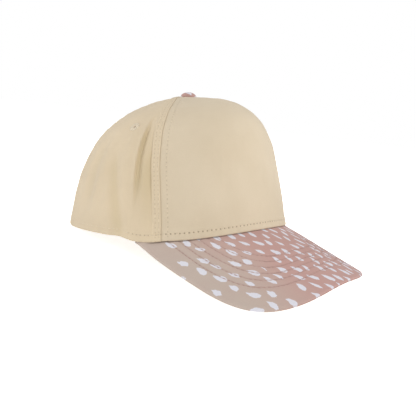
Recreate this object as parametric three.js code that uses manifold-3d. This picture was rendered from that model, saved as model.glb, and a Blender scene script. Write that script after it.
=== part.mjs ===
// A five-panel cap: a tall structured front panel, soft side and back panels, an arched
// squarish visor, a covered top button, sewn eyelets, a sweatband and a plain back strap.
// Millimetres, +Z up. The visor points along -Y and the wearer's right side is -X.
import * as THREE from 'three';
import { mergeVertices } from 'three/addons/utils/BufferGeometryUtils.js';
import Module from 'manifold-3d';

const solids = await Module();
solids.setup();

const { lerp, clamp, smoothstep } = THREE.MathUtils;
const degrees = Math.PI / 180;

// Crown sections from the rim to the top, with the reaches measured from the button's axis
const crownSections = [
  { height: 0.0, halfWidth: 87.5, front: 83.5, back: 120.5 },
  { height: 26.8, halfWidth: 84.0, front: 79.0, back: 114.0 },
  { height: 51.4, halfWidth: 78.5, front: 74.5, back: 99.5 },
  { height: 72.8, halfWidth: 68.0, front: 71.0, back: 82.0 },
  { height: 88.8, halfWidth: 51.5, front: 64.0, back: 63.0 },
  { height: 99.5, halfWidth: 32.0, front: 48.0, back: 44.5 },
  { height: 105.4, halfWidth: 16.0, front: 22.0, back: 23.0 },
  { height: 107.0, halfWidth: 0.0, front: 0.0, back: 0.0 },
];
const crownHeight = crownSections.at(-1).height;
const crownWall = 2.0;
const panelTop = 0.977; // climb, from 0 at the rim to 1 at the apex, where the panels end
const panelRows = 14;
const panelColumns = { front: 20, side: 22, back: 12 };
const squareRimClimb = 0.1; // below this climb the wall turns square on the rim

// Seams, as angles from the middle of the front
const frontSeamAngle = { rim: 55.5 * degrees, top: 86.5 * degrees };
const sideSeamAngle = { rim: 118 * degrees, top: 132 * degrees };
const seamGap = 0.3;
const pieceGap = 0.5;

// Soft dents of the unlined side and back panels, on both sides of the cap. Each runs from a
// low to a high point, given as degrees from the front and a climb. It reaches some degrees
// forward and rearward, and has a depth and a sharpness, from 0, rounded, to 1, creased. A
// negative depth is a soft ridge.
const folds = [
  { low: [68.0, 0.12], high: [72.8, 0.54], forward: 6.5, rearward: 3.0, depth: 3.6, sharpness: 0.8 },
  { low: [73.5, 0.10], high: [78.5, 0.52], forward: 3.6, rearward: 6.0, depth: -0.9, sharpness: 0.0 },
  { low: [64.8, 0.00], high: [71.0, 0.36], forward: 4.5, rearward: 6.5, depth: 1.4, sharpness: 0.0 },
  { low: [75.5, 0.01], high: [91.0, 0.42], forward: 6.5, rearward: 7.5, depth: 2.2, sharpness: 0.0 },
  { low: [99.0, 0.04], high: [91.0, 0.42], forward: 5.0, rearward: 5.0, depth: -0.7, sharpness: 0.0 },
  { low: [105.0, 0.02], high: [101.0, 0.45], forward: 6.0, rearward: 7.0, depth: 1.5, sharpness: 0.0 },
  { low: [128.0, 0.05], high: [137.0, 0.55], forward: 7.0, rearward: 8.0, depth: 1.6, sharpness: 0.0 },
];
const foldFade = 0.35; // share of a fold's length in which it fades out at each end
const flatBand = { width: 9, blend: 3 }; // the stiff strip behind the front seam

// Visor: a flat board bent to a round arch and sloped down from the crown's rim
const visorSlope = 22.5 * degrees;
const visorArchRadius = 146;
const visorHalfWidth = 79.5;
const visorAhead = 69.3;
const visorBehind = 43.5;
const visorThickness = 3.5;
const visorColumns = 30;
const visorRows = 8;
const visorCrest = 4.2; // height of the visor's top at the middle of the front, above the rim
const visorTipAngle = 66 * degrees;
const visorFade = 30 * degrees;

// Rear rim, which dips a little behind the ears, and the arch cut into it
const rearDip = { depth: 2.2, from: 90 * degrees, to: 150 * degrees };
const archHalfWidth = 41;
const archHeight = 44;

// Sweatband and strap, inside the crown
const sweatband = { gap: 0.7, thickness: 1.5, endAngle: 141 * degrees, rows: 2, columns: 96 };
const strap = {
  thickness: 2.0, endAngle: 143.5 * degrees, lowClimb: 0.01, highClimb: 0.11, rows: 2, columns: 18,
};

// Button and eyelets, turned about their own axes
const button = {
  radius: 7.3, height: 4.4, shankRadius: 1.5, washerRadius: 6, washerThickness: 1, sides: 20,
};
const eyelet = {
  radius: 4.5, height: 0.9, crestRadius: 3.54, holeRadius: 1.3, collarRadius: 2.2, backRadius: 3.6,
  sides: 16,
};
const eyeletCutRadius = 2.6;
const eyeletPlaces = [
  { name: 'eyelet_side', angle: 83.5 * degrees, climb: 0.469 },
  { name: 'eyelet_back', angle: 152 * degrees, climb: 0.53 },
];

// How the cap stands: leaned back on the front corners of its visor and its rear rim
const leanBack = 8.05 * degrees;

const creamTwill = 0xdcc8a8;
const printedRose = 0xc0a298;
const creamThread = 0xe2d4b6;
const clothRoughness = 0.9;
const threadRoughness = 0.8;

const normalStep = 0.004; // step in angle and climb for the crown's normal
const mergeDistance = 1e-3;
const curveDivisions = 5;
const archDivisions = 12;

const sectionCurve = new THREE.CubicInterpolant(
  crownSections.map((section, row) => row),
  crownSections.flatMap(({ height, halfWidth, front, back }) => [height, halfWidth, front, back]),
  4,
);

function sectionAt(climb) {
  const [height, halfWidth, front, back] = sectionCurve.evaluate(climb * (crownSections.length - 1));
  return { height, halfWidth, front, back };
}

function seamAt(seam, climb) {
  return lerp(seam.rim, seam.top, climb ** 2);
}

const frontSeam = (climb) => seamAt(frontSeamAngle, climb);
const sideSeam = (climb) => seamAt(sideSeamAngle, climb);
const backSeam = () => Math.PI;

// 1 in the middle, falling smoothly to 0 at offsets of -1 and 1
function bump(offset) {
  return Math.abs(offset) < 1 ? (1 + Math.cos(Math.PI * offset)) / 2 : 0;
}

function foldDepth(angle, climb) {
  const turn = Math.abs(angle);
  let depth = 0;
  for (const { low, high, forward, rearward, depth: deepest, sharpness } of folds) {
    const share = (climb - low[1]) / (high[1] - low[1]);
    const offset = turn / degrees - lerp(low[0], high[0], share);
    const across = offset < 0 ? offset / forward : offset / rearward;
    const profile = lerp(bump(across), Math.max(0, 1 - Math.abs(across)), sharpness);
    depth += deepest * profile * smoothstep(share, 0, foldFade) * smoothstep(1 - share, 0, foldFade);
  }
  const pastSeam = (turn - frontSeam(climb)) * sectionAt(climb).halfWidth;
  return depth * smoothstep(pastSeam, flatBand.width, flatBand.width + flatBand.blend);
}

// The crown's outer face before the folds, with its rim in one plane
function smoothCrown(angle, climb) {
  const section = sectionAt(climb);
  const reach = Math.cos(angle) > 0 ? section.front : section.back;
  return new THREE.Vector3(
    section.halfWidth * Math.sin(angle), -reach * Math.cos(angle), section.height);
}

function crownNormal(angle, climb) {
  const here = Math.min(climb, 1 - 2 * normalStep);
  const lower = Math.max(here - normalStep, 0);
  const around = smoothCrown(angle + normalStep, here).sub(smoothCrown(angle - normalStep, here));
  const upward = smoothCrown(angle, here + normalStep).sub(smoothCrown(angle, lower));
  const normal = around.cross(upward);
  normal.z *= smoothstep(climb, 0, squareRimClimb);
  return normal.normalize();
}

// The visor board before bending is a flat sheet: across is along X, ahead is away from the crown
function visorPoint(across, ahead, below) {
  const drop = visorArchRadius - Math.sqrt(visorArchRadius ** 2 - across ** 2) + below;
  return new THREE.Vector3(
    across,
    -crownSections[0].front - ahead * Math.cos(visorSlope) + drop * Math.sin(visorSlope),
    visorCrest - ahead * Math.sin(visorSlope) - drop * Math.cos(visorSlope));
}

// The place on the flat board of the visor that lies above or below the plan point x, y
function visorPlace(x, y) {
  const drop = visorArchRadius - Math.sqrt(visorArchRadius ** 2 - x ** 2);
  const ahead = (drop * Math.sin(visorSlope) - crownSections[0].front - y) / Math.cos(visorSlope);
  return new THREE.Vector2(x, ahead);
}

function rimPlan(angle, depth) {
  const { halfWidth, front } = crownSections[0];
  return new THREE.Vector2((halfWidth - depth) * Math.sin(angle), (depth - front) * Math.cos(angle));
}

// The rim follows the visor at the front, lies level at the sides and dips at the rear
function rimHeight(angle, depth) {
  const plan = rimPlan(clamp(angle, -visorTipAngle, visorTipAngle), depth);
  const place = visorPlace(plan.x, plan.y);
  const onVisor = visorPoint(place.x, place.y, 0).z + seamGap;
  const pastVisor = smoothstep(Math.abs(angle), visorTipAngle, visorTipAngle + visorFade);
  const dip = rearDip.depth * smoothstep(Math.abs(angle), rearDip.from, rearDip.to);
  return onVisor * (1 - pastVisor) - dip;
}

// A point in the crown's wall, at a depth under its outer face
function crownPoint(angle, climb, depth) {
  const point = smoothCrown(angle, climb);
  point.addScaledVector(crownNormal(angle, climb), -depth - foldDepth(angle, climb));
  const nearRim = Math.max(0, 1 - 2 * climb) ** 2;
  point.z += rimHeight(angle, depth) * nearRim;
  return point;
}

// A closed sheet: place maps its two sides, from 0 to 1, and its layer, 1 outside, to a point
function sheet(columns, rows, place) {
  const geometry = new THREE.BoxGeometry(1, 1, 1, columns, rows, 1);
  geometry.deleteAttribute('normal');
  geometry.deleteAttribute('uv');
  const position = geometry.getAttribute('position');
  for (let i = 0; i < position.count; i += 1) {
    const point = place(position.getX(i) + 0.5, position.getY(i) + 0.5, position.getZ(i) + 0.5);
    position.setXYZ(i, point.x, point.y, point.z);
  }
  return finished(mergeVertices(geometry, mergeDistance));
}

function finished(geometry) {
  geometry.computeVertexNormals();
  return geometry;
}

function toSolid(geometry) {
  const bare = geometry.clone();
  bare.deleteAttribute('normal');
  bare.deleteAttribute('uv');
  const merged = mergeVertices(bare, mergeDistance);
  return new solids.Manifold(new solids.Mesh({
    numProp: 3,
    vertProperties: merged.getAttribute('position').array,
    triVerts: new Uint32Array(merged.index.array),
  }));
}

function cutAway(geometry, tool) {
  const mesh = toSolid(geometry).subtract(toSolid(tool)).getMesh();
  const cut = new THREE.BufferGeometry();
  cut.setAttribute('position', new THREE.BufferAttribute(mesh.vertProperties, 3));
  cut.setIndex(new THREE.BufferAttribute(mesh.triVerts, 1));
  return finished(cut);
}

// A profile of radius and height, turned about Z
function turned(profile, sides) {
  const geometry = new THREE.LatheGeometry(profile.getPoints(curveDivisions), sides);
  return geometry.rotateX(Math.PI / 2);
}

function clothPiece(name, geometry, color, roughness = clothRoughness) {
  const material = new THREE.MeshStandardMaterial({ color, roughness, metalness: 0 });
  const mesh = new THREE.Mesh(geometry, material);
  mesh.name = name;
  return mesh;
}

// A crown panel between two seams. On the right, side is -1, and the angles run backwards.
function panelGeometry(side, nearSeam, farSeam, columns) {
  return sheet(columns, panelRows, (across, up, layer) => {
    const climb = up * panelTop;
    const slack = seamGap / 2 / sectionAt(climb).halfWidth;
    const near = nearSeam(climb) + slack;
    const far = farSeam(climb) - slack;
    const angle = side > 0 ? lerp(near, far, across) : -lerp(far, near, across);
    return crownPoint(angle, climb, crownWall * (1 - layer));
  });
}

function frontPanel() {
  const geometry = panelGeometry(1, (climb) => -frontSeam(climb), frontSeam, panelColumns.front);
  return clothPiece('front_panel', geometry, creamTwill);
}

function eyeletTool(side, place) {
  const length = 8 * crownWall; // well past both faces of the panel
  const tool = new THREE.CylinderGeometry(eyeletCutRadius, eyeletCutRadius, length, eyelet.sides);
  tool.rotateX(Math.PI / 2);
  return tool.applyMatrix4(eyeletMatrix(side, place));
}

function sidePanel(side, sideName) {
  const panel = panelGeometry(side, frontSeam, sideSeam, panelColumns.side);
  const geometry = cutAway(panel, eyeletTool(side, eyeletPlaces[0]));
  return clothPiece(`side_panel_${sideName}`, geometry, creamTwill);
}

function archTool() {
  const shape = new THREE.Shape();
  shape.moveTo(-archHalfWidth, -archHalfWidth);
  shape.lineTo(archHalfWidth, -archHalfWidth);
  shape.absellipse(0, 0, archHalfWidth, archHeight, 0, Math.PI);
  const depth = crownSections[0].back;
  const tool = new THREE.ExtrudeGeometry(
    shape, { depth, bevelEnabled: false, curveSegments: archDivisions });
  tool.rotateX(Math.PI / 2);
  return tool.translate(0, depth + archHeight, 0);
}

function backPanel(side, sideName) {
  const panel = panelGeometry(side, sideSeam, backSeam, panelColumns.back);
  const opened = cutAway(panel, archTool());
  const geometry = cutAway(opened, eyeletTool(side, eyeletPlaces[1]));
  return clothPiece(`back_panel_${sideName}`, geometry, creamTwill);
}

// The visor's front and side outline on the flat board: a squarish oval, by its direction
function visorOutline(direction) {
  const across = Math.sin(direction);
  const ahead = Math.cos(direction);
  const reach = (across ** 4 + ahead ** 4) ** -0.25;
  return new THREE.Vector2(
    visorHalfWidth * reach * across, (visorAhead + visorBehind) * reach * ahead - visorBehind);
}

function visor() {
  const geometry = sheet(visorColumns, visorRows, (across, ahead, layer) => {
    const turn = 1 - 2 * across;
    const plan = rimPlan(turn * visorTipAngle, crownWall);
    const place = visorPlace(plan.x, plan.y).lerp(visorOutline(turn * Math.PI / 2), ahead);
    return visorPoint(place.x, place.y, visorThickness * (1 - layer));
  });
  return clothPiece('visor', geometry, printedRose);
}

function sweatbandRing() {
  const outerDepth = crownWall + sweatband.gap;
  const geometry = sheet(sweatband.columns, sweatband.rows, (across, up, layer) => {
    const angle = lerp(-sweatband.endAngle, sweatband.endAngle, across);
    const climb = up * sweatband.rows * panelTop / panelRows;
    return crownPoint(angle, climb, outerDepth + sweatband.thickness * (1 - layer));
  });
  return clothPiece('sweatband', geometry, creamTwill);
}

function backStrap() {
  const outerDepth = crownWall + pieceGap;
  const geometry = sheet(strap.columns, strap.rows, (across, up, layer) => {
    const angle = lerp(strap.endAngle, 2 * Math.PI - strap.endAngle, across);
    const climb = lerp(strap.lowClimb, strap.highClimb, up);
    return crownPoint(angle, climb, outerDepth + strap.thickness * (1 - layer));
  });
  return clothPiece('back_strap', geometry, creamTwill);
}

function topButton() {
  const top = crownHeight + seamGap;
  const washerTop = crownHeight - crownWall - pieceGap;
  const profile = new THREE.Path();
  profile.moveTo(0, washerTop - button.washerThickness);
  profile.lineTo(button.washerRadius, washerTop - button.washerThickness);
  profile.lineTo(button.washerRadius, washerTop);
  profile.lineTo(button.shankRadius, washerTop);
  profile.lineTo(button.shankRadius, top);
  profile.lineTo(button.radius, top);
  profile.absellipse(0, top, button.radius, button.height, 0, Math.PI / 2);
  return clothPiece('top_button', turned(profile, button.sides), printedRose);
}

function eyeletMatrix(side, place) {
  const angle = side * place.angle;
  const normal = crownNormal(angle, place.climb);
  const turn = new THREE.Quaternion().setFromUnitVectors(new THREE.Vector3(0, 0, 1), normal);
  return new THREE.Matrix4().compose(
    crownPoint(angle, place.climb, 0), turn, new THREE.Vector3(1, 1, 1));
}

// A ring on the crown with a collar through the panel and a smaller ring behind it
function sewnEyelet(side, sideName, place) {
  const back = -crownWall - pieceGap;
  const profile = new THREE.Path();
  profile.moveTo(eyelet.holeRadius, back - eyelet.height);
  profile.lineTo(eyelet.backRadius, back - eyelet.height);
  profile.lineTo(eyelet.backRadius, back);
  profile.lineTo(eyelet.collarRadius, back);
  profile.lineTo(eyelet.collarRadius, seamGap);
  profile.lineTo(eyelet.radius, seamGap);
  profile.lineTo(eyelet.radius, seamGap + eyelet.height / 2);
  profile.lineTo(eyelet.crestRadius, seamGap + eyelet.height);
  profile.lineTo(eyelet.holeRadius, seamGap + eyelet.height / 2);
  profile.lineTo(eyelet.holeRadius, back - eyelet.height);
  const ring = turned(profile, eyelet.sides);
  const mesh = clothPiece(`${place.name}_${sideName}`, ring, creamThread, threadRoughness);
  mesh.applyMatrix4(eyeletMatrix(side, place));
  return mesh;
}

// The cloth that reaches below the surface under the cap is flattened on it
function flattenOnFloor(mesh) {
  const toPiece = mesh.matrixWorld.clone().invert();
  const position = mesh.geometry.getAttribute('position');
  const point = new THREE.Vector3();
  for (let i = 0; i < position.count; i += 1) {
    point.fromBufferAttribute(position, i).applyMatrix4(mesh.matrixWorld);
    if (point.z < 0) {
      point.setZ(0).applyMatrix4(toPiece);
      position.setXYZ(i, point.x, point.y, point.z);
    }
  }
}

const cap = new THREE.Group();
const board = visor();
cap.add(frontPanel(), board, topButton(), sweatbandRing(), backStrap());
for (const [side, sideName] of [[-1, 'right'], [1, 'left']]) {
  cap.add(sidePanel(side, sideName), backPanel(side, sideName));
  for (const place of eyeletPlaces) {
    cap.add(sewnEyelet(side, sideName, place));
  }
}

// Leaned back, then lifted until the visor stands on the floor, with the middle of its box over 0, 0
cap.rotation.x = -leanBack;
cap.updateMatrixWorld(true);
cap.position.z = -new THREE.Box3().setFromObject(board, true).min.z;
cap.updateMatrixWorld(true);
cap.children.filter((piece) => piece !== board).forEach(flattenOnFloor);
const middle = new THREE.Box3().setFromObject(cap, true).getCenter(new THREE.Vector3());
cap.position.x = -middle.x;
cap.position.y = -middle.y;
cap.updateMatrixWorld(true);

const root = new THREE.Group();
root.add(cap);
export default root;
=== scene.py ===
import math
import random

import bpy
import numpy as np
from mathutils import Matrix, Vector


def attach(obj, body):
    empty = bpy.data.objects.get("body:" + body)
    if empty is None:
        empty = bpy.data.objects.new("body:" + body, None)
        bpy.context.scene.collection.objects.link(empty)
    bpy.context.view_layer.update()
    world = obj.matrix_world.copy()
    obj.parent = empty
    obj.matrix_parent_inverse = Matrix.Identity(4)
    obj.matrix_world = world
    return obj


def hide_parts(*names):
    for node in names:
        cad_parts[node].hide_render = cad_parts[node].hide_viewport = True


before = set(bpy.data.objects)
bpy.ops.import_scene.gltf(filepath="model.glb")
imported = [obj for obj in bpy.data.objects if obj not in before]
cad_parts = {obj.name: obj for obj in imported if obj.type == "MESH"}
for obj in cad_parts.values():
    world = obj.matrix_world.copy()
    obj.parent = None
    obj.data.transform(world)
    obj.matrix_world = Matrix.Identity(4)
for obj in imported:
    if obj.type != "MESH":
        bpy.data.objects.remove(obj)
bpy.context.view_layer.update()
bpy.ops.object.select_all(action="DESELECT")
print("frame loaded:", len(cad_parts), "nodes")

mm = 0.001               # metres; the cap is laid out in millimetres

# The camera stands close to the cap, in front of its right side
cameraSettings = {
    "place": (-0.26988, -0.24140, 0.10378),   # metres
    "target": (-0.00094, -0.00641, 0.03519),
    "roll": 6.96,                             # degrees
    "lens": 37.94,                            # millimetres
    "sensor": 36.0,
    "nearest": 0.01,                          # metres, where its view begins
}


def makeCamera():
    bpy.ops.object.camera_add(location=cameraSettings["place"])
    camera = bpy.context.object
    camera.name = "camera"
    away = Vector(cameraSettings["target"]) - Vector(cameraSettings["place"])
    aim = away.to_track_quat("-Z", "Y").to_matrix()
    roll = Matrix.Rotation(math.radians(cameraSettings["roll"]), 3, "Z")
    camera.rotation_euler = (aim @ roll).to_euler()
    camera.data.lens = cameraSettings["lens"]
    camera.data.sensor_width = cameraSettings["sensor"]
    camera.data.clip_start = cameraSettings["nearest"]
    bpy.context.scene.camera = camera


makeCamera()
print("camera placed")

# The cap's own frame has its rim in one plane and the button's axis upright, in millimetres.
# The cap then leans back on its visor's corners and its rear rim, as it stands on a table.
stance = {
    "lean": 8.05,                      # degrees
    "shift": (0.0, 16.413, 16.365),
}

crown = {
    # height, half width, front reach and back reach of each section, from rim to top
    "sections": (
        (0.0, 87.5, 83.5, 120.5),
        (26.8, 84.0, 79.0, 114.0),
        (51.4, 78.5, 74.5, 99.5),
        (72.8, 68.0, 71.0, 82.0),
        (88.8, 51.5, 64.0, 63.0),
        (99.5, 32.0, 48.0, 44.5),
        (105.4, 16.0, 22.0, 23.0),
        (107.0, 0.0, 0.0, 0.0),
    ),
    "top": 0.977,                      # climb, from 0 to 1, at which the panels end under the button
    "levelRim": 0.1,                   # climb below which the wall's thickness turns level
    "frontSeam": (55.5, 86.5),         # degrees from the front, at the rim and at the top
    "sideSeam": (118.0, 132.0),
    "rearDip": (2.2, 90.0, 150.0),     # depth, and the angles that it grows between
    "arch": (41.0, 44.0),              # half width and height of the rear opening
    "rimGap": 0.5,                     # between the rim and the visor
    "wall": 1.7,
    # low (angle, climb), high (angle, climb), reach forward and rearward, depth, sharpness
    "folds": (
        ((69.3, 0.10), (74.3, 0.56), 3.0, 1.0, 1.4, 0.8),
        ((69.3, 0.06), (74.3, 0.57), 25.0, 1.1, 1.9, 0.0),
        ((61.5, -0.06), (64.5, 0.42), 12.0, 9.5, 1.4, 0.0),
        ((74.5, 0.08), (80.5, 0.52), 3.5, 6.0, -0.7, 0.0),
        ((74.5, -0.12), (93.5, 0.42), 8.0, 7.0, 2.5, 0.0),
        ((99.0, 0.04), (91.0, 0.42), 5.0, 5.0, -0.7, 0.0),
        ((105.0, 0.02), (101.0, 0.45), 6.0, 7.0, 1.5, 0.0),
        ((128.0, 0.05), (137.0, 0.55), 7.0, 8.0, 1.6, 0.0),
    ),
    "foldFade": 0.35,                  # share of a fold's length in which it fades at each end
    "shadeReach": 0.45,                # degrees behind a crease that take its painted shade
    "flatBand": (6.5, 1.1),            # width of the stiff strip behind the front seam, and its blend
}
rimHalfWidth, rimFront = crown["sections"][0][1:3]

visor = {
    "slope": 22.5,                     # degrees
    "archRadius": 146.0,
    "halfWidth": 80.0,
    "ahead": 70.0,
    "behind": 43.5,
    "thickness": 2.7,
    "powers": (4.0, 3.05),             # of its outline on the wearer's right and left: high is square
    "crest": 4.0,
    "sag": (2.0, 70.0, 80.0),          # depth at the rear corners, and the widths that it grows between
    "sagAhead": (-30.0, 15.0),         # places ahead between which the sag ends
    "frontSag": (0.8, 45.0, 75.0),     # the same for the front corners
    "frontSagAhead": (15.0, 60.0),     # places ahead between which the front sag begins
    "tip": 66.0,                       # degrees from the front, where the visor leaves the rim
    "fade": 16.0,                      # degrees past the tip in which the rim turns level
    "tuck": (68.5, 1.605, 2.0),        # the cover's end: degrees on the rim, radians on the board, depth
    "firstRow": 10.8,                  # inset of the outermost stitch row from the side edges
    "frontRow": 5.2,                   # how much further in the rows lie at the front
    "rowStep": 5.0,
    "rows": 6,
}

sewing = {
    "pitch": 3.2,                      # from one needle hole to the next
    "thread": (2.1, 0.62, 0.42),       # length, width and height of one stitch
    "seamRow": 4.3,                    # a stitch row's distance from its seam
    "seamStart": 3.0,                  # height over the rim at which that row begins
    "rimRow": 4.8,
    "bandWidth": 6.5,                  # the seam allowance that lies under the side panel
    "bandRow": 1.8,                    # a second row on that band
    "holeEdge": (0.0002, 0.00075),     # metres from a hole's middle between which it fades
}


def smoothStep(value, low, high):
    share = np.clip((np.asarray(value, float) - low) / (high - low), 0, 1)
    return share * share * (3 - 2 * share)


def fadeOut(value, low, high):
    return 1 - smoothStep(value, low, high)


def bump(offset):   # 1 in the middle, 0 at offsets of -1 and 1
    return np.where(np.abs(offset) < 1, (1 + np.cos(np.pi * np.clip(offset, -1, 1))) / 2, 0)


def bell(offset, half):   # 1 in the middle, with soft ends
    return np.exp(-(offset / half) ** 2)


def lerp(first, second, share):
    return first + (second - first) * share


def pair(first, second):
    return np.stack([first, second], -1)


def unit(vectors):
    return vectors / np.maximum(np.linalg.norm(vectors, axis=-1, keepdims=True), 1e-9)


# Millimetres in the cap's own frame to metres in the frame of the part
def toFrame(points):
    lean = math.radians(stance["lean"])
    x, y, z = np.moveaxis(np.asarray(points, float), -1, 0)
    back = y * math.cos(lean) + z * math.sin(lean)
    up = z * math.cos(lean) - y * math.sin(lean)
    return (np.stack([x, back, up], -1) + stance["shift"]) * mm


def sectionAt(climb):
    table = np.array(crown["sections"])
    slopes = np.gradient(table, axis=0)
    place = np.clip(climb, 0, 1) * (len(table) - 1)
    low = np.minimum(place.astype(int), len(table) - 2)
    t = (place - low)[..., None]
    rise = t * t * (3 - 2 * t)
    start = t * (1 - t) ** 2
    end = t * t * (t - 1)
    here = lerp(table[low], table[low + 1], rise) + slopes[low] * start + slopes[low + 1] * end
    return np.moveaxis(here, -1, 0)


def smoothCrown(angle, climb):
    height, halfWidth, front, back = sectionAt(climb)
    reach = np.where(np.cos(angle) > 0, front, back)
    return np.stack([halfWidth * np.sin(angle), -reach * np.cos(angle), height + 0 * angle], -1)


def crownNormal(angle, climb):
    step = 0.004
    here = np.minimum(climb, 1 - 2 * step)
    around = smoothCrown(angle + step, here) - smoothCrown(angle - step, here)
    upward = smoothCrown(angle, here + step) - smoothCrown(angle, np.maximum(here - step, 0))
    normal = np.cross(around, upward)
    normal[..., 2] *= smoothStep(climb, 0, crown["levelRim"])
    return unit(normal)


def raised(points, angle, climb, height):
    return points + crownNormal(angle, climb) * height[..., None]


def visorDrop(across):
    return visor["archRadius"] - np.sqrt(visor["archRadius"] ** 2 - across ** 2)


# The visor's corners hang a little lower than its arch
def visorSag(across, ahead):
    width = np.abs(across)
    depth, narrow, wide = visor["sag"]
    rear = depth * smoothStep(width, narrow, wide) * fadeOut(ahead, *visor["sagAhead"])
    depth, narrow, wide = visor["frontSag"]
    return rear + depth * smoothStep(width, narrow, wide) * smoothStep(ahead, *visor["frontSagAhead"])


def visorPoint(across, ahead, below=0.0):
    slope = math.radians(visor["slope"])
    drop = visorDrop(across) + visorSag(across, ahead) + below
    y = -rimFront - ahead * math.cos(slope) + drop * math.sin(slope)
    z = visor["crest"] - ahead * math.sin(slope) - drop * math.cos(slope)
    return np.stack([across + 0 * z, y, z], -1)


def visorAhead(x, y):   # how far ahead on the flat board the plan point x, y lies
    slope = math.radians(visor["slope"])
    return (visorDrop(x) * math.sin(slope) - rimFront - y) / math.cos(slope)


def rimPlan(angle, depth):
    return (rimHalfWidth - depth) * np.sin(angle), (depth - rimFront) * np.cos(angle)


def rimHeight(angle, depth):
    tip, fade = math.radians(visor["tip"]), math.radians(visor["fade"])
    x, y = rimPlan(np.clip(angle, -tip, tip), depth)
    onVisor = visorPoint(x, visorAhead(x, y))[..., 2]
    dip, dipFrom, dipTo = crown["rearDip"]
    turn = np.abs(angle)
    rear = dip * smoothStep(turn, math.radians(dipFrom), math.radians(dipTo))
    return (onVisor + crown["rimGap"]) * fadeOut(turn, tip, tip + fade) - rear


def seamAngle(seam, climb):
    low, high = crown[seam]
    return np.radians(lerp(low, high, np.asarray(climb) ** 2))


def foldDepth(angle, climb):
    depth = np.zeros(np.broadcast(angle, climb).shape)
    turn = np.degrees(np.abs(angle))
    for low, high, forward, rearward, deepest, sharpness in crown["folds"]:
        share = (climb - low[1]) / (high[1] - low[1])
        offset = turn - lerp(low[0], high[0], share)
        across = np.where(offset < 0, offset / forward, offset / rearward)
        profile = lerp(bump(across), np.clip(1 - np.abs(across), 0, None), sharpness)
        ends = smoothStep(share, 0, crown["foldFade"]) * smoothStep(1 - share, 0, crown["foldFade"])
        depth += deepest * profile * ends
    pastSeam = (np.abs(angle) - seamAngle("frontSeam", climb)) * sectionAt(climb)[1]
    width, blend = crown["flatBand"]
    return depth * smoothStep(pastSeam, width, width + blend)


# The depth that the painted fold shade follows, which also covers the steep wall behind a crease
def foldShade(angle, climb):
    ahead = np.sign(angle) * math.radians(crown["shadeReach"])
    return np.maximum(foldDepth(angle, climb), foldDepth(angle - ahead, climb))


# A point at a depth under the crown's outer face; the rim's shape is gone half way up
def crownPoint(angle, climb, depth=0.0):
    point = raised(smoothCrown(angle, climb), angle, climb, -(depth + foldDepth(angle, climb)))
    point[..., 2] += rimHeight(angle, depth) * np.clip(1 - 2 * climb, 0, None) ** 2
    return point


# Slow random unevenness of about a height over the points, from a few sine waves
def waves(points, height, seed, longest):
    source = random.Random(seed)
    total = np.zeros(points.shape[:-1])
    count, shortest = 9, 0.35
    for _ in range(count):
        length = longest * source.uniform(shortest, 1)
        way = np.array([source.gauss(0, 1) for _ in range(3)])
        way *= 2 * math.pi / length / np.linalg.norm(way)
        total += np.sin(points @ way + source.uniform(0, 2 * math.pi)) * length / longest
    return total * height / math.sqrt(count / 2)


def normalsOf(points):
    return unit(np.cross(np.gradient(points, axis=1), np.gradient(points, axis=0)))


def runLength(points, axis):
    steps = np.linalg.norm(np.diff(points, axis=axis), axis=-1)
    start = np.zeros_like(np.take(steps, [0], axis=axis))
    return np.concatenate([start, np.cumsum(steps, axis=axis)], axis=axis)


# Meshes
def newest(name):
    bpy.context.object.name = name
    return bpy.context.object


def mode(name):
    bpy.ops.object.mode_set(mode=name)


def focus(piece):
    bpy.ops.object.select_all(action="DESELECT")
    piece.select_set(True)
    bpy.context.view_layer.objects.active = piece


# Leaves the piece in edit mode with the chosen faces selected
def editFaces(piece, chosen):
    focus(piece)
    mode("EDIT")
    bpy.ops.mesh.select_mode(type="FACE")
    bpy.ops.mesh.select_all(action="DESELECT")
    mode("OBJECT")
    for face in piece.data.polygons:
        face.select = chosen(face)
    mode("EDIT")


def cornersOf(piece):
    return np.array([corner.co[:] for corner in piece.data.vertices])


def setCorners(piece, places):
    piece.data.vertices.foreach_set("co", places.ravel())
    piece.data.update()


# UV maps in metres, from millimetres at each corner
def giveMaps(piece, maps):
    corners = np.zeros(len(piece.data.loops), int)
    piece.data.loops.foreach_get("vertex_index", corners)
    while piece.data.uv_layers:
        piece.data.uv_layers.remove(piece.data.uv_layers[0])
    for name, values in maps.items():
        layer = piece.data.uv_layers.new(name=name)
        layer.data.foreach_set("uv", (values.reshape(-1, 2)[corners] * mm).ravel())
    piece.data.update()


# A grid primitive whose corners are laid on the given surface, with its UV maps
def gridMesh(name, points, maps):
    rows, columns = points.shape[:2]
    bpy.ops.mesh.primitive_grid_add(x_subdivisions=columns - 1, y_subdivisions=rows - 1, size=1)
    piece = newest(name)
    place = toFrame(points).reshape(-1, 3)
    place[:, 2] = np.maximum(place[:, 2], 0)   # flat where it rests
    setCorners(piece, place)
    giveMaps(piece, maps)
    return piece


def applyModifier(piece, kind, **settings):
    bpy.context.view_layer.objects.active = piece
    modifier = piece.modifiers.new(kind.lower(), kind)
    for key, value in settings.items():
        setattr(modifier, key, value)
    bpy.ops.object.modifier_apply(modifier=modifier.name)


def roundEdges(piece, width, leastAngle):
    applyModifier(piece, "BEVEL", width=width * mm, segments=2, limit_method="ANGLE",
                  angle_limit=math.radians(leastAngle))


def giveWall(piece, thickness, roll=0.0):
    applyModifier(piece, "SOLIDIFY", thickness=thickness * mm, offset=-1)
    if roll:
        roundEdges(piece, roll, 50)
    for corner in piece.data.vertices:
        corner.co.z = max(corner.co.z, 0)


def finishPiece(piece, material, node=None):
    focus(piece)
    bpy.ops.object.shade_smooth_by_angle(angle=math.radians(55))
    if material:
        piece.data.materials.append(material)
    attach(piece, "root")
    if node:
        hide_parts(node)
    piece.select_set(False)


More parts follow.
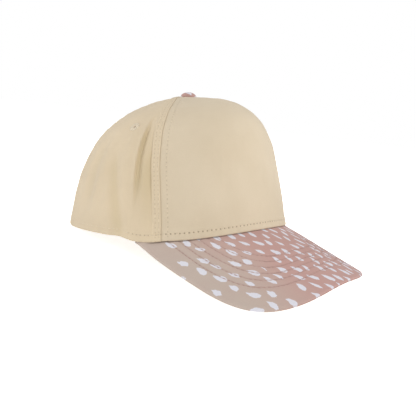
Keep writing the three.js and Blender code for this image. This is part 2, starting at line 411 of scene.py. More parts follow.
# Materials
# A value in a material's node tree, on which plain arithmetic adds math nodes
class nodeValue:
    def __init__(self, tree, socket):
        self.tree = tree
        self.socket = socket

    def out(self, name):   # another output of the same node
        return nodeValue(self.tree, self.socket.node.outputs[name])

    def link(self, socket):
        self.tree.links.new(self.socket, socket)

    def calc(self, operation, *others):
        return addNode(self.tree, "Math", (self, *others), operation=operation)

    def __rsub__(self, other):
        return addNode(self.tree, "Math", (other, self), operation="SUBTRACT")

    def __abs__(self):
        return self.calc("ABSOLUTE")


def addOperator(name, operation):
    setattr(nodeValue, name, lambda value, other: value.calc(operation, other))


addOperator("__add__", "ADD")
addOperator("__sub__", "SUBTRACT")
addOperator("__mul__", "MULTIPLY")
addOperator("__truediv__", "DIVIDE")
addOperator("__pow__", "POWER")


# A new node whose inputs, by order or by name, are linked to a value or set
def addNode(tree, kind, inputs=(), output=0, **settings):
    node = tree.nodes.new("ShaderNode" + kind)
    for key, value in settings.items():
        setattr(node, key, value)
    for name, value in (inputs.items() if isinstance(inputs, dict) else enumerate(inputs)):
        if isinstance(value, nodeValue):
            value.link(node.inputs[name])
        else:
            node.inputs[name].default_value = value
    return nodeValue(tree, node.outputs[output])


def ramp(value, low, high):
    inputs = {"Value": value, "From Min": low, "From Max": high}
    return addNode(value.tree, "MapRange", inputs, interpolation_type="SMOOTHSTEP")


# The mix node's share and colours are its inputs 0, 6 and 7, and its colour is output 2
def mixColour(share, first, second):
    return addNode(share.tree, "Mix", {0: share, 6: first, 7: second}, 2, data_type="RGBA")


def uvOf(tree, name):
    place = addNode(tree, "UVMap", uv_map=name)
    split = addNode(tree, "SeparateXYZ", [place])
    return place, split, split.out("Y")


def noiseOf(vector, scale, detail, output="Fac"):
    inputs = {"Vector": vector, "Scale": scale, "Detail": detail}
    return addNode(vector.tree, "TexNoise", inputs, output)


# Patches of noise of a given scale and detail, with their faintest and fullest value and their share
def patches(vector, scale, detail, low, high, share):
    return ramp(noiseOf(vector, scale, detail), low, high) * share


def objectPlace(tree):
    return addNode(tree, "TexCoord", output="Object")


def bumpOf(height, depth, normal=None):
    inputs = {"Strength": 1.0, "Distance": depth, "Height": height}
    if normal:
        inputs["Normal"] = normal
    return addNode(height.tree, "Bump", inputs)


def uneven(vector, scale, detail, height, normal=None):
    return bumpOf(noiseOf(vector, scale, detail), height, normal)


# A line of colour along an edge, of a given width and share
def edgeLine(distance, wide, share):
    return (1 - ramp(distance, 0.0, wide)) * share


# A colour given as 0 to 255 on the screen
def linear(colour, tint=(1.0, 1.0, 1.0)):
    parts = [value / 255 for value in colour]
    parts = [p / 12.92 if p <= 0.04045 else ((p + 0.055) / 1.055) ** 2.4 for p in parts]
    return tuple(p * t for p, t in zip(parts, tint)) + (1.0,)


def newMaterial(name, roughness=0.85, sheen=0.15):
    material = bpy.data.materials.new(name)
    material.use_nodes = True
    tree = material.node_tree
    shader = next(n for n in tree.nodes if n.type == "BSDF_PRINCIPLED")
    finish = {"Roughness": roughness, "Sheen Weight": sheen, "Sheen Roughness": 0.5,
              "Specular IOR Level": 0.25}
    for key, value in finish.items():
        shader.inputs[key].default_value = value
    return material, tree, shader


# The row of needle holes at a distance from a seam, strength in a hole and 0 outside; the holes are painted
# with the shade in them
def needleHoles(tree, mapName, offset, strength, fade=None):
    pitch = sewing["pitch"] * mm
    _, fromSeam, along = uvOf(tree, mapName)
    across = fromSeam - offset * mm
    lengthwise = ((along / pitch + 0.5).calc("FRACT") - 0.5) * pitch
    away = (across ** 2.0 + lengthwise ** 2.0).calc("SQRT")
    hole = (1 - ramp(away, *sewing["holeEdge"])) * strength
    return hole * (1 - ramp(along, *fade)) if fade else hole


twill = {
    "colour": (222, 206, 180),
    "dark": (206, 188, 158),
    # the painted shade in the needle holes, also used for the seam's shadow line
    "hole": (128, 108, 80),
    # the painted shade in the folds
    "fold": (196, 178, 132),
    "sideTint": (1.03, 1.005, 0.96),   # the soft panels' colour beside the front's
    "bandTint": (0.97, 0.97, 0.98),
    # noise scale and detail, where the dark begins and is full, and its share
    "mottle": (22, 3, 0.3, 0.75, 0.35),
    "yarn": (900, 2, 0.35, 0.8, 0.12),
    "paintedFoldShadeRange": (0.0004, 0.0046),     # metres deep, from no painted fold shade to the whole of it
    "paintedFoldShadeShare": 0.50,
    "seamLine": (0.0007, 0.32),        # width in metres and share of the shadow line in a seam
    "wale": 0.00075,                   # metres from one diagonal rib to the next
    "waleHeight": 0.00006,
    "unevenness": (160, 3, 0.0003),    # noise scale and detail, and height in metres
    "holeDepth": 0.0004,
}


# folded paints shade into the folds; lined paints the seam's shadow line
def twillMaterial(name, rows, tint=(1.0, 1.0, 1.0), folded=False, lined=False):
    material, tree, shader = newMaterial(name)
    cloth, across, along = uvOf(tree, "cloth")
    place = objectPlace(tree)
    dark, hole = linear(twill["dark"]), linear(twill["hole"])
    colour = mixColour(patches(place, *twill["mottle"]), linear(twill["colour"], tint), dark)
    colour = mixColour(patches(cloth, *twill["yarn"]), colour, dark)
    if folded:   # painted shade: the cloth turns a deeper yellow with a fold's depth, standing in for the light that bounces about in it
        depth = uvOf(tree, "fold")[1]
        share = ramp(depth, *twill["paintedFoldShadeRange"]) * twill["paintedFoldShadeShare"]
        colour = mixColour(share, colour, linear(twill["fold"]))
    if lined:   # the shadow line in the seam
        colour = mixColour(edgeLine(uvOf(tree, "nearSeam")[1], *twill["seamLine"]), colour, hole)
    turn = (across + along) * (2 * math.pi / twill["wale"] / math.sqrt(2))
    weave = turn.calc("SINE") * 0.5 + noiseOf(cloth, *twill["yarn"][:2])
    normal = uneven(place, *twill["unevenness"], bumpOf(weave, twill["waleHeight"]))
    # needle holes: a real dent in the bump, and painted shade in their colour
    if rows:
        first, *others = [needleHoles(tree, *row) for row in rows]
        for other in others:
            first = first.calc("MAXIMUM", other)
        colour = mixColour(first, colour, hole)
        normal = bumpOf(first * -1.0, twill["holeDepth"], normal)
    colour.link(shader.inputs["Base Color"])
    normal.link(shader.inputs["Normal"])
    return material


thread = {
    "cream": (230, 213, 186),
    "eyelet": (230, 214, 187),
    "rose": (190, 156, 147),
    "tin": (196, 190, 178),
    "shade": (0.8, 0.8, 0.8),                # the darker strands, beside the lighter ones
    "strands": (700, 2, 0.35, 0.7, 1.0),     # noise scale and detail, low and high end, share
    "unevenness": (2500, 2, 0.0001),
}


def threadMaterial(name, colour):
    material, tree, shader = newMaterial(name, 0.6, 0.2)
    place = objectPlace(tree)
    shade = linear(thread[colour], thread["shade"])
    strands = mixColour(patches(place, *thread["strands"]), linear(thread[colour]), shade)
    strands.link(shader.inputs["Base Color"])
    uneven(place, *thread["unevenness"]).link(shader.inputs["Normal"])
    return material


# Stitches
# One stitch, 1 long, 1 wide and 1 high, that the rows repeat
def stitchModel():
    bpy.ops.mesh.primitive_uv_sphere_add(segments=8, ring_count=5, radius=0.5)
    model = bpy.context.object
    mode("EDIT")
    bpy.ops.mesh.select_all(action="SELECT")
    bpy.ops.transform.rotate(value=math.pi / 2, orient_axis="Y", center_override=(0, 0, 0))
    mode("OBJECT")
    corners = cornersOf(model)
    corners[:, 0] = np.sign(corners[:, 0]) * np.abs(corners[:, 0] * 2) ** 0.6 / 2   # fuller ends
    corners[:, 2] -= 1.1 * corners[:, 0] ** 2                                       # ends dip down
    faces = [tuple(p.vertices) for p in model.data.polygons]
    bpy.data.objects.remove(model)
    return corners, faces


stitchCorners, stitchFaces = stitchModel()


# The places, directions and normals of the stitches of one row
def alongRow(points, normals, along):
    pitch, step = sewing["pitch"], 0.4
    marks = (np.arange(math.ceil(along[0] / pitch), math.floor(along[-1] / pitch)) + 0.5) * pitch
    wanted = ((marks, points), (marks + step, points), (marks, normals))
    place, ahead, normal = (np.stack([np.interp(at, along, axis) for axis in values.T], -1)
                            for at, values in wanted)
    apart = np.linalg.norm(np.diff(place, axis=0, prepend=place[:1] + pitch), axis=-1) > pitch / 2
    return place[apart], (ahead - place)[apart], normal[apart]


# Joins the stitches of some rows into one piece
def stitchRows(name, rows, material, size=sewing["thread"]):
    blocks = []
    for place, direction, normal in rows:
        along = unit(direction)
        side = unit(np.cross(normal, along))
        ways = np.stack([along, side, np.cross(along, side)], 1)
        blocks.append((place[:, None] + stitchCorners * size @ ways).reshape(-1, 3))
    corners = toFrame(np.concatenate(blocks))
    corners[:, 2] = np.maximum(corners[:, 2], 0.1 * mm)
    count = len(corners) // len(stitchCorners)
    faces = [tuple(i + k * len(stitchCorners) for i in face) for k in range(count) for face in stitchFaces]
    mesh = bpy.data.meshes.new(name)
    mesh.from_pydata([tuple(c) for c in corners], [], faces)
    piece = bpy.data.objects.new(name, mesh)
    bpy.context.collection.objects.link(piece)
    finishPiece(piece, material, None)
    print(name, count, "stitches")
    return piece


# Crown panels
panelDetail = {
    "edgeCells": (0.0, 0.35, 0.7, 1.05, 1.4, 1.9, 2.6),
    "rise": (168.0, 150.0),            # length of a panel's mesh from rim and from arch to top
    "seamCurl": (0.14, 0.5),           # how deep the edge turns in at a seam, and over what width
    "rimCurl": (0.6, 1.1),
    "bandHeight": 0.5,
    "bandEdge": (0.5, 0.3),            # the band's far edge falls from before to past its width
    "foldedEdge": 0.7,                 # width of the round edge of the band
    "allowance": (0.22, 5.4, 6.6),     # height of the turned cloth at a seam, and where it ends
    "hem": (0.35, 6.6, 8.0),
    "channel": (0.28, 0.8),            # depth and half width of the dent along a stitch row
    "pucker": (0.10, 7.0, 7.0),        # height, length and reach of the puckers along an edge
    "secondPucker": (0.6, 1.7, 1.0),   # share, length and lag of the second wave at a seam
    "softWave": 62.0,                  # longest wave of the soft unevenness, and where it is calm
    "calmSeam": 12.0,
    "calmRim": (4.0, 22.0),
    "calmTop": (0.8, 0.97),            # in climb
    "fineWave": (0.10, 17.0, 4.0),     # height, longest wave and distance from a seam of the fine one
    "reliefEnd": (0.93, 0.985),
    "topDip": (0.4, 0.93, 0.977),      # depth under the button, and the climb between which it grows
    "archLook": (165.0, 0.6),          # angle and highest climb at which the arch's height is read
    "archFoot": 6,                     # how often the corner under the rear arch is rounded
}

# Each panel's cut between its seams, in metres and square metres, how unevenly it lies in
# millimetres, the seed of that unevenness, and the size of its mesh's cells in millimetres
panels = {
    "front": {"flat": (0.169, 0.155), "area": 0.0187, "soft": 0.28, "seed": 5, "cell": 1.0},
    "side": {"flat": (0.110, 0.160), "area": 0.0115, "soft": 0.36, "seed": 11, "cell": 0.72},
    "back": {"flat": (0.131, 0.167), "area": 0.0095, "soft": 0.50, "seed": 31, "cell": 1.0},
}


# Shares from 0 to 1 along a length, with small cells at its crowded ends
def shares(length, cell, crowdedEnd=True):
    start = np.array(panelDetail["edgeCells"])
    end = length - start[::-1] if crowdedEnd else np.array([length])
    middle = np.linspace(start[-1], end[0], int((end[0] - start[-1]) / cell) + 2)[1:-1]
    return np.concatenate([start, middle, end]) / length


# Angle and climb of each corner of a panel between two seams, from the rim to the top
def openPanel(kind, nearSeam, farSeam, nearSide=1):
    cell = panels[kind]["cell"]
    rows = shares(panelDetail["rise"][0], cell, False) * crown["top"]
    near, far = nearSide * seamAngle(nearSeam, rows), seamAngle(farSeam, rows)
    columns = shares((far[0] - near[0]) * rimHalfWidth, cell)
    angle = lerp(near[:, None], far[:, None], columns)
    return angle, np.broadcast_to(rows[:, None], angle.shape)


# Angle and climb of each corner of a back panel, whose lower edge follows the rear arch
def archedPanel(kind):
    cell = panels[kind]["cell"]
    halfWidth, height = crown["arch"]
    lookAngle, lookClimb = panelDetail["archLook"]
    climbs = np.linspace(0, lookClimb, 400)
    heights = crownPoint(math.radians(lookAngle), climbs)[:, 2]
    turn = np.linspace(0, math.pi / 2, 60)
    archClimb = np.maximum(np.interp(height * np.sin(turn), heights, climbs), 0)
    archAngle = math.pi - np.arcsin(halfWidth * np.cos(turn) / sectionAt(archClimb)[1])
    rimAngle = np.linspace(seamAngle("sideSeam", 0.0), archAngle[0], 40)[:-1]
    edgeAngle = np.concatenate([rimAngle, archAngle])
    edgeClimb = np.concatenate([np.zeros(len(rimAngle)), archClimb])
    along = runLength(crownPoint(edgeAngle, edgeClimb), 0)
    marks = shares(along[-1], cell) * along[-1]
    edgeAngle, edgeClimb = np.interp(marks, along, edgeAngle), np.interp(marks, along, edgeClimb)
    for _ in range(panelDetail["archFoot"]):
        for line in (edgeAngle, edgeClimb):
            line[1:-1] = line[1:-1] / 2 + (line[:-2] + line[2:]) / 4
    up = shares(panelDetail["rise"][1], cell, False)[:, None]
    climb = lerp(edgeClimb[None], crown["top"], up)
    edgeSide, side = seamAngle("sideSeam", edgeClimb), seamAngle("sideSeam", climb)
    lowShare = (edgeAngle - edgeSide) / (math.pi - edgeSide)
    share = lerp(lowShare[None], marks[None] / along[-1], smoothStep(up, 0, 1))
    return side + (math.pi - side) * share, climb


def channel(offset):
    depth, half = panelDetail["channel"]
    return depth * bell(offset, half)


# The edge's turn inwards, the cloth turned in behind it, and the dent along its stitch row
def edgeRelief(distance, curl, turned, row):
    deep, wide = panelDetail[curl]
    height, full, none = panelDetail[turned]
    turnedIn = deep * np.clip(1 - distance / wide, 0, 1) ** 2
    return height * fadeOut(distance, full, none) - turnedIn - channel(distance - sewing[row])


def seamRelief(fromSeam, along, banded=False):
    relief = edgeRelief(fromSeam, "seamCurl", "allowance", "seamRow")
    if banded:   # its near edge is a round fold that lies on the seam
        folded = np.sqrt(1 - np.clip(1 - fromSeam / panelDetail["foldedEdge"], 0, 1) ** 2)
        before, past = panelDetail["bandEdge"]
        ended = fadeOut(fromSeam, sewing["bandWidth"] - before, sewing["bandWidth"] + past)
        relief = relief + panelDetail["bandHeight"] * folded * ended - channel(fromSeam - sewing["bandRow"])
    height, wave, reach = panelDetail["pucker"]
    share, longer, lag = panelDetail["secondPucker"]
    turn = 2 * np.pi * along / wave
    return relief + height * (np.sin(turn) + share * np.sin(turn / longer + lag)) * bell(fromSeam, reach)


def rimRelief(fromRim, along):
    height, wave, reach = panelDetail["pucker"]
    puckers = height * np.sin(2 * np.pi * along / wave) * bell(fromRim, reach)
    return edgeRelief(fromRim, "rimCurl", "hem", "rimRow") + puckers


# Each point's distance from the line through the edge's points, and the length along that line
def awayFrom(points, edge):
    past = 20   # steps by which the line runs on at its ends
    first, last = edge[:1] - past * (edge[1] - edge[0]), edge[-1:] + past * (edge[-1] - edge[-2])
    edge = np.concatenate([first, edge, last])
    before = runLength(edge, 0)
    start, span = edge[:-1], np.diff(edge, axis=0)
    length = np.linalg.norm(span, axis=-1)
    away, along = np.empty(points.shape[:2]), np.empty(points.shape[:2])
    columns = np.arange(points.shape[1])
    for k, row in enumerate(points):
        offset = row[:, None] - start
        share = np.clip((offset * span).sum(-1) / length ** 2, 0, 1)
        apart = np.linalg.norm(offset - share[..., None] * span, axis=-1)
        nearest = np.argmin(apart, axis=1)
        away[k] = apart[columns, nearest]
        along[k] = before[nearest] + share[columns, nearest] * length[nearest] - before[1]
    return away, along


# The panel's outer face, with its seams, hem, puckers and soft unevenness
def panelSurface(angle, climb, soft, banded, seed, eyelet):
    base = crownPoint(angle, climb)
    fromNear, upward = runLength(base, 1), runLength(base, 0)
    width = fromNear[:, -1:]
    fromFar = width - fromNear
    alongNear = np.broadcast_to(upward[:, :1], angle.shape)
    alongFar = np.broadcast_to(upward[:, -1:], angle.shape)
    fromRim, alongRim = awayFrom(base, base[0])
    relief = seamRelief(fromNear, alongNear, banded) + seamRelief(fromFar, alongFar)
    relief = relief + rimRelief(fromRim, alongRim)

    def clearOfSeams(distance):
        return smoothStep(fromNear, 0, distance) * smoothStep(fromFar, 0, distance)

    calm = clearOfSeams(panelDetail["calmSeam"]) * smoothStep(fromRim, *panelDetail["calmRim"])
    calm = calm * fadeOut(climb, *panelDetail["calmTop"])
    if eyelet:
        away = np.linalg.norm(base - crownPoint(*eyeletSpot(eyelet))[0], axis=-1)
        calm = calm * smoothStep(away, eyelets["radius"], eyelets["calm"])
    fine, longest, clear = panelDetail["fineWave"]
    relief = relief + calm * waves(base, soft, seed, panelDetail["softWave"])
    relief = relief + clearOfSeams(clear) * waves(base, fine, seed + 1, longest)
    dip, dipFrom, dipTo = panelDetail["topDip"]
    relief = relief * fadeOut(climb, *panelDetail["reliefEnd"]) - dip * smoothStep(climb, dipFrom, dipTo)
    maps = {
        "cloth": pair(fromNear - width / 2, alongNear),
        "nearSeam": pair(fromNear, alongNear),
        "farSeam": pair(fromFar, alongFar),
        "rim": pair(fromRim, alongRim),
        "fold": pair(foldShade(angle, climb), 0 * climb),
    }
    return raised(base, angle, climb, relief), maps


def mirrored(points, maps):
    flipped = points[:, ::-1] * (-1, 1, 1)
    return flipped, {name: values[:, ::-1] for name, values in maps.items()}


# The values of a grid's rows on the line that lies at an offset across them
def lineAt(values, distances, offset):
    line = []
    for row, distance in zip(values, distances):
        order = np.argsort(distance)
        line.append([np.interp(offset, distance[order], column) for column in row[order].T])
    return np.array(line)


# The stitches that run up a panel at an offset from a seam
def seamRow(points, seamMap, offset):
    distances, along = seamMap[..., 0], seamMap[..., 1]
    values = np.concatenate([points, normalsOf(points), along[..., None]], -1)
    keep = (along[:, 0] >= sewing["seamStart"]) & (distances.max(axis=1) > offset * 2)
    line = lineAt(values[keep], distances[keep], offset)
    return alongRow(line[:, :3], line[:, 3:6], line[:, 6])


# The stitches that run along the rim, at an offset up from it
def rimRow(points, fromRim, alongRim, offset):
    values = np.concatenate([points, normalsOf(points), alongRim[..., None]], -1)
    line = lineAt(values.swapaxes(0, 1), fromRim.T, offset)
    return alongRow(line[:, :3], line[:, 3:6], np.maximum.accumulate(line[:, 6]))


eyelets = {
    "side": {"angle": 83.5, "climb": 0.469},
    "back": {"angle": 152.0, "climb": 0.53},
    "radius": 4.1,
    "hole": 0.75,
    "rise": (0.27, 0.05, 3.0),         # share of a round ring's height, its lift, and how much deeper below
    "calm": 15.0,                      # the cloth lies smooth round an eyelet, up to this radius
    "punch": 0.0026,                   # metres, radius of the hole in the cloth
    "rib": (0.10, 0.012),              # how much a thread stands up, and out at the edge
    "ribs": 36,
}


def eyeletSpot(kind, side=1):
    return np.array([side * math.radians(eyelets[kind]["angle"])]), np.array([eyelets[kind]["climb"]])


def eyeletPlace(side, kind):
    angle, climb = eyeletSpot(kind, side)
    point = crownPoint(angle, climb)
    tip = toFrame(point + crownNormal(angle, climb))[0]
    point = toFrame(point)[0]
    return Vector(point), Vector(tip - point).normalized()


# Deletes the cloth inside an eyelet, before the piece has its wall
def punch(piece, point, radius):
    editFaces(piece, lambda face: (face.center - point).length < radius)
    bpy.ops.mesh.delete(type="FACE")
    mode("OBJECT")


# For each row of needle holes its map, its offset, how dark its painted shade is, and the metres between
# which it ends
seamHoles = (("nearSeam", sewing["seamRow"], 0.2), ("farSeam", sewing["seamRow"], 0.2))
frontHoles = seamHoles + (("rim", sewing["rimRow"], 0.6),)
bandHoles = (("nearSeam", sewing["bandRow"], 0.13), ("rim", sewing["rimRow"], 0.4, (0.020, 0.030)))
backHoles = seamHoles + (("rim", sewing["rimRow"], 0.3),)
frontTwill = twillMaterial("frontTwill", frontHoles)
sideTwill = twillMaterial("sideTwill", seamHoles + bandHoles, twill["sideTint"], folded=True, lined=True)
backTwill = twillMaterial("backTwill", backHoles, twill["sideTint"], folded=True)
creamThread = threadMaterial("creamThread", "cream")
eyeletThread = threadMaterial("eyeletThread", "eyelet")
crownRows = []


def sideWord(side):
    return "Right" if side < 0 else "Left"


# A crown panel on one side, with its stitch rows; the front panel counts as the left side's
def crownPanel(kind, grid, material, side=1):
    size = panels[kind]
    word = "" if kind == "front" else sideWord(side)
    banded = kind == "side"
    eyelet = kind if kind in eyelets else None
    points, maps = panelSurface(*grid, size["soft"], banded, size["seed"] + side, eyelet)
    if side < 0:
        points, maps = mirrored(points, maps)
    crownRows.append(seamRow(points, maps["nearSeam"], sewing["seamRow"]))
    crownRows.append(seamRow(points, maps["farSeam"], sewing["seamRow"]))
    if banded:
        crownRows.append(seamRow(points, maps["nearSeam"], sewing["bandRow"]))
    fromRim, alongRim = np.moveaxis(maps["rim"][:, ::side], -1, 0)
    place, ahead, normal = rimRow(points[:, ::side], fromRim, alongRim, sewing["rimRow"])
    crownRows.append((place, ahead, normal * side))   # reversed columns turn the normals round
    piece = gridMesh(f"{kind}Panel{word}", points, maps)
    if eyelet:
        punch(piece, eyeletPlace(side, eyelet)[0], eyelets["punch"])
    giveWall(piece, crown["wall"])
    node = f"{kind}_panel_{word.lower()}".rstrip("_")
    finishPiece(piece, material, node)


def makeCrown():
    crownPanel("front", openPanel("front", "frontSeam", "frontSeam", -1), frontTwill)
    for side in (-1, 1):
        crownPanel("side", openPanel("side", "frontSeam", "sideSeam"), sideTwill, side)
        crownPanel("back", archedPanel("back"), backTwill, side)


makeCrown()
stitchRows("crownStitches", crownRows, creamThread)
print("crown sewn")

# Visor
visorDetail = {
    "columns": 190,
    "topRows": 92,
    "edgeRows": 8,
    "underRows": 46,
    "rollShare": 0.45,                 # most of the board's width that its rounded edge may take
    "groove": (0.38, 0.9),             # depth and half width of the dent along a stitch row
    "unevenness": (0.12, 71, 30.0),    # height, seed and longest wave
    "calm": (0.5, 3.0),                # distances from the edges between which relief begins
    "thread": (2.1, 0.5, 0.36),        # length, width and height of one stitch
    "threadSink": 0.25,                # how deep the rows lie in their grooves
    "underCrown": (1.0, -20.0),        # rows end this near the crown, and never lie behind this place
}

dabPrint = {
    "rose": (195, 156, 148),
    "deepRose": (184, 146, 140),
    "tan": (196, 180, 168),
    "mauve": (192, 156, 150),
    "dab": (226, 226, 235),
    # the painted shade in the sewn rows' grooves and holes, which the darker edge line also takes
    "row": (164, 128, 120),
    # the painted shadow under the crown's rim
    "join": (92, 70, 52),
    "drift": (18, 3, 0.03),            # noise scale and detail, and how far it moves the tan's edge
    "tanRange": (0.022, 0.076),        # metres to the wearer's right between which rose turns tan
    "mauveRange": (0.015, 0.07),       # the same to the left for the mauve
    "blotch": (45, 4, 0.4, 0.75, 0.12),
    "yarn": (1100, 2, 0.4, 0.8, 0.10),
    "yarnHeight": 0.00008,
    "unevenness": (150, 3, 0.0003),
    "rowWidth": (0.0002, 0.0008),      # metres from a row's middle between which its painted shade ends
    "paintedRowShade": (0.12, 0.42),           # share of the painted shade on a stitch and between two
    "dash": (0.1, 0.4),                # shares of a pitch between which one becomes the other
    "edgeLine": (0.0006, 0.5),         # width in metres and share of the darker line along the edge
    "paintedCrownShadow": (0.0005, 0.45),        # the same of the painted shadow line along the crown's foot
    "paintedCrownShadowEnds": (0.0015, 0.004),       # metres in from the side edges between which it begins
    "strength": 0.95,                  # of the dabs
    "cell": (0.0074, 0.0126),          # metres across and along, for each dab
    "crowding": (3.2, 0.012),          # the cells narrow to the wearer's left, from metres across
    "stagger": 0.3,                    # share of a cell by which columns lie askew, beside the half
    "halfLong": (0.0034, 0.0016),      # a dab's least half length, and how much is added by chance
    "halfWide": (0.0013, 0.0009),
    "edge": 0.00035,                   # metres over which a dab's colour ends
    "ends": (0.55, 0.95),              # powers of its round and its narrow end
    "turn": 13,                        # degrees from straight ahead
    "swing": 0.5,                      # how far one dab may turn from that, as a slope
    "shift": (0.26, 0.30),             # how far a dab may lie from the middle of its cell
    "wobble": (420, 2, 0.0010),        # noise scale and detail, and reach of a dab's uneven outline
    "hairs": (0.3, 1000, 2),           # stretch, scale and detail of the brush's hairs
    "ragged": 0.0036,                  # how far the hairs run on past each other
    "dryBrush": (0.15, 0.26),          # the hairs' values between which they leave colour
    "bare": (0.0, 0.42),               # share of the cells left bare on the rose and on the tan
}


# The powers and reaches of the outline at an inset, for places on the wearer's right and left
def outlineShape(across, inset, frontInset):
    onRight, onLeft = visor["powers"]
    wide = visor["halfWidth"] - inset
    far = visor["ahead"] + visor["behind"] - inset - frontInset
    return np.where(across > 0, onLeft, onRight), wide, far


def visorOutline(direction, inset, frontInset=0.0):
    across, ahead = np.sin(direction), np.cos(direction)
    power, wide, far = outlineShape(across, inset, frontInset)
    reach = (np.abs(across) ** power + np.abs(ahead) ** power) ** (-1 / power)
    return wide * reach * across, far * reach * ahead - visor["behind"]


# How far inside the visor's sides the line through a place on the flat board lies, for lines
# that keep the same distance from the sides and lie further in by frontInset in front
def rowInset(across, ahead, frontInset):
    deepest, halvings = 78.0, 22
    low, high = np.zeros(across.shape), np.full(across.shape, deepest)
    for _ in range(halvings):
        middle = (low + high) / 2
        power, wide, far = outlineShape(across, middle, frontInset)
        beyond = np.abs(ahead + visor["behind"]) / far
        outside = (np.abs(across) / wide) ** power + beyond ** power > 1
        high = np.where(outside, middle, high)
        low = np.where(outside, low, middle)
    return (low + high) / 2


def visorRowsRelief(inset):
    deep, half = visorDetail["groove"]
    rows = [visor["firstRow"] + k * visor["rowStep"] for k in range(visor["rows"])]
    return sum(deep * bell(inset - row, half) for row in rows)


# Board places and depths of the visor's cover: out along the top, round the edge, back below
def visorGrid():
    turn = np.linspace(1, -1, visorDetail["columns"])
    rimEnd, boardEnd, depth = visor["tuck"]
    plan = rimPlan(turn * math.radians(rimEnd), depth)
    inner = pair(plan[0], visorAhead(*plan))
    direction = turn * boardEnd
    outer = pair(*visorOutline(direction, 0.0))
    thickness = visor["thickness"]
    width = np.linalg.norm(outer - inner, axis=-1)
    half = np.minimum(thickness / 2, visorDetail["rollShare"] * width)
    turned = pair(*visorOutline(direction, half))
    rows, depths = [], []
    for share in np.linspace(0, 1, visorDetail["topRows"]):
        rows.append(lerp(inner, turned, share))
        depths.append(0.0)
    for angle in np.linspace(math.pi / 2, -math.pi / 2, visorDetail["edgeRows"] + 2)[1:-1]:
        rows.append(pair(*visorOutline(direction, half * (1 - math.cos(angle)))))
        depths.append(thickness / 2 * (1 - math.sin(angle)))
    for share in np.linspace(1, 0, visorDetail["underRows"]):
        rows.append(lerp(inner, turned, share))
        depths.append(thickness)
    rows.append(inner)
    depths.append(0.0)
    return np.array(rows), np.array(depths)[:, None] + 0 * turn


# Short brushed strokes, one to a cell of a staggered grid, that narrow to one end
def brushDabs(board, toTan):
    tree = board.tree
    turned = addNode(tree, "Mapping", {"Vector": board, "Rotation": (0, 0, math.radians(dabPrint["turn"]))})
    scale, detail, reach = dabPrint["wobble"]
    wobble = (noiseOf(board, scale, detail, "Color"), (reach, reach, 0), turned)
    place = addNode(tree, "VectorMath", wobble, operation="MULTIPLY_ADD")
    across = addNode(tree, "SeparateXYZ", [place])
    wide, long = dabPrint["cell"]
    crowd, crowdFrom = dabPrint["crowding"]
    beyond = (across - crowdFrom).calc("MAXIMUM", 0.0)
    x = (beyond * beyond * crowd + across) / wide
    column = x.calc("FLOOR")
    askew = noiseAt(column, 0.0)[0] * dabPrint["stagger"] + column.calc("FLOORED_MODULO", 2.0) * 0.5
    y = across.out("Y") / long + askew
    row = y.calc("FLOOR")
    first, second, third, fourth = noiseAt(column, row + 50.0)
    shiftAcross, shiftAlong = dabPrint["shift"]
    x = fromMiddle(x, column, first, shiftAcross, wide)
    y = fromMiddle(y, row, second, shiftAlong, long)
    x = abs(y * ((third - 0.5) * dabPrint["swing"]) + x)
    stretch, scale, detail = dabPrint["hairs"]
    stretched = addNode(tree, "Mapping", {"Vector": place, "Scale": (1.0, stretch, 1.0)})
    hairs = noiseOf(stretched, scale, detail)
    least, more = dabPrint["halfLong"]
    y = ((hairs - 0.5) * dabPrint["ragged"] + y) / (fourth * more + least)
    roundEnd, thinEnd = dabPrint["ends"]
    outline = (1 - y).calc("MAXIMUM", 0.0) ** roundEnd * (y + 1.0).calc("MAXIMUM", 0.0) ** thinEnd
    least, more = dabPrint["halfWide"]
    dab = ramp(outline * (second * more + least) - x, 0.0, dabPrint["edge"])
    onRose, onTan = dabPrint["bare"]
    kept = (third * 7.0).calc("FRACT").calc("GREATER_THAN", toTan * (onTan - onRose) + onRose)
    return dab * ramp(hairs, *dabPrint["dryBrush"]) * kept


# Metres from the middle of a dab, which lies up to half the shift away from its cell's middle
def fromMiddle(value, cell, chance, shift, size):
    return (value - cell - 0.5 - (chance - 0.5) * shift) * size


# Four random numbers that stay the same all over one cell
def noiseAt(column, row):
    cell = addNode(column.tree, "CombineXYZ", (column, row))
    noise = addNode(column.tree, "TexWhiteNoise", {"Vector": cell}, "Color", noise_dimensions="3D")
    split = addNode(column.tree, "SeparateColor", [noise])
    return split, split.out(1), split.out(2), noise.out("Value")


# The painted shade along the sewn rows, the darker line along the edge and the painted shadow line where
# the crown stands
def visorLines(tree, colour, toTan):
    _, inset, along = uvOf(tree, "rows")
    step, first = visor["rowStep"] * mm, visor["firstRow"] * mm
    offRow = abs(((inset - first) / step + 0.5).calc("FRACT") - 0.5) * step
    last = first + (visor["rows"] - 0.5) * step
    within = inset.calc("GREATER_THAN", first - step / 2) * inset.calc("LESS_THAN", last)
    stitch = (along / (sewing["pitch"] * mm)).calc("FRACT")
    # painted shade along the sewn rows, in dashes of the stitch pitch
    faint, strong = dabPrint["paintedRowShade"]
    dash = ramp(abs(stitch - 0.5), *dabPrint["dash"]) * (strong - faint) + faint
    line = (1 - ramp(offRow, *dabPrint["rowWidth"])) * within * dash
    colour = mixColour(line, colour, linear(dabPrint["row"]))
    _, fromCrown, fromEdge = uvOf(tree, "join")
    edge = edgeLine(fromEdge, *dabPrint["edgeLine"]) * (1 - toTan)
    colour = mixColour(edge, colour, linear(dabPrint["row"]))
    # painted shadow where the crown stands on the visor
    join = edgeLine(fromCrown, *dabPrint["paintedCrownShadow"]) * ramp(fromEdge, *dabPrint["paintedCrownShadowEnds"])
    return mixColour(join, colour, linear(dabPrint["join"]))


